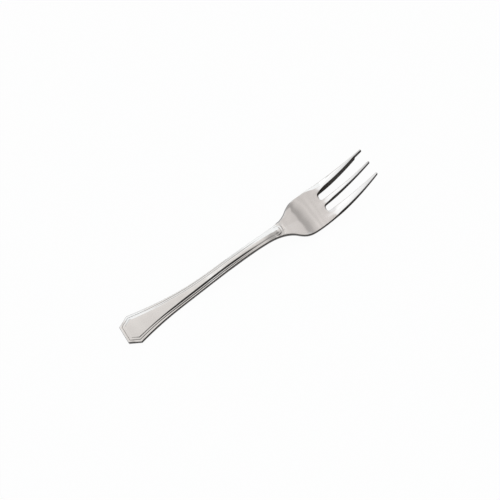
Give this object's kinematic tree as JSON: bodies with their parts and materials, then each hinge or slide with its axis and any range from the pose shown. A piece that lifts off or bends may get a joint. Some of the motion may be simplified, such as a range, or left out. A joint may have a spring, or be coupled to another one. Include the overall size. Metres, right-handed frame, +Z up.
{
  "type": "pastry fork",
  "caption": "Stainless steel pastry fork with an octagonal handle end, a threaded border and a bevelled cutting tine on the left.",
  "frame": {"origin": "on the table, under the middle of the fork's length", "axes": "+X from the handle end to the tine tips, +Y to the fork's left, +Z up"},
  "size_m": [0.15, 0.0222, 0.0139],
  "materials": {
    "steel": "polished"
  },
  "bodies": {
    "root": {"fork": "steel"}
  },
  "joints": []
}
